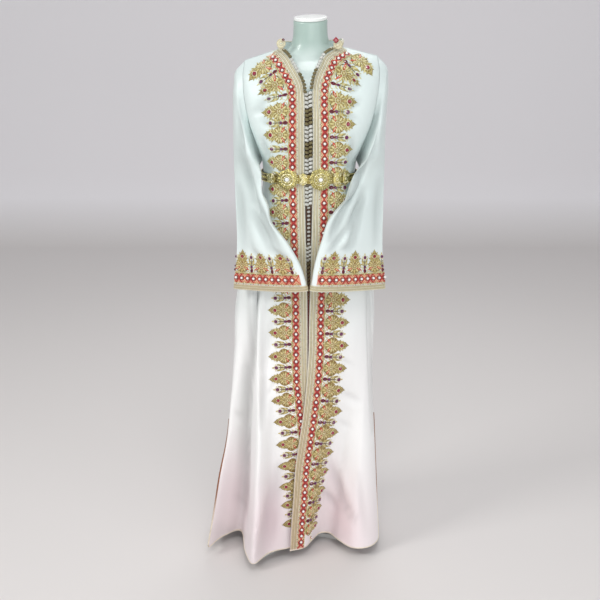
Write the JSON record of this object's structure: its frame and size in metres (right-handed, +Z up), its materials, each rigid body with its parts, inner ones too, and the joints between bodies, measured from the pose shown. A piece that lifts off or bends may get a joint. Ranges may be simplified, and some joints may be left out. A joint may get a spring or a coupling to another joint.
{
  "type": "moroccan kaftan on dress form",
  "caption": "Long open-fronted ceremonial gown with flared sleeves, embroidered bands, knot buttons and a filigree belt, standing on a headless dress form",
  "frame": {"origin": "centre of the flat underside of the stand's foot, on the axis of its pole, at floor level", "axes": "+Z up, -Y the way the garment faces, +X to the right of someone who looks at its front"},
  "size_m": [0.5238, 0.4423, 1.5782],
  "materials": {
    "ivory_crepe": "satin-backed crepe, white with a mint cast above and a blush cast low on the skirt",
    "champagne_braid": "parallel cords of champagne silk laid side by side",
    "coral_band": "coral and orange silk trellis with pearls",
    "silver_knots": "knotted cord buttons, silver-white and dark olive gold by turns",
    "copper_cord": "twisted cord piping",
    "filigree_gold": "open gold filigree, bright on its edges",
    "crystal": "clear faceted stone",
    "gloss_form": "glossy pale mint lacquer",
    "white_cap": "smooth white",
    "stand_metal": "pale satin paint"
  },
  "bodies": {
    "root": {"back": "ivory_crepe", "front_left": "ivory_crepe", "front_right": "ivory_crepe", "sleeve_left": "ivory_crepe", "sleeve_right": "ivory_crepe", "collar": "ivory_crepe", "front_braid_left": "champagne_braid", "front_braid_right": "champagne_braid", "cuff_braid_left": "champagne_braid", "cuff_braid_right": "champagne_braid", "front_band_left": "coral_band", "front_band_right": "coral_band", "cuff_band_left": "coral_band", "cuff_band_right": "coral_band", "button_knots": "silver_knots", "piping_left": "copper_cord", "piping_right": "copper_cord", "piping_back": "copper_cord", "belt_band": "filigree_gold", "belt_plate_left": "filigree_gold", "belt_clasp": "filigree_gold", "belt_plate_right_1": "filigree_gold", "belt_plate_right_2": "filigree_gold", "rosette_left": "filigree_gold", "rosette_right": "filigree_gold", "rosette_stone_left": "crystal", "rosette_stone_right": "crystal", "form_torso": "gloss_form", "form_cap": "white_cap", "stand_pole": "stand_metal", "stand_foot": "stand_metal"}
  },
  "joints": []
}
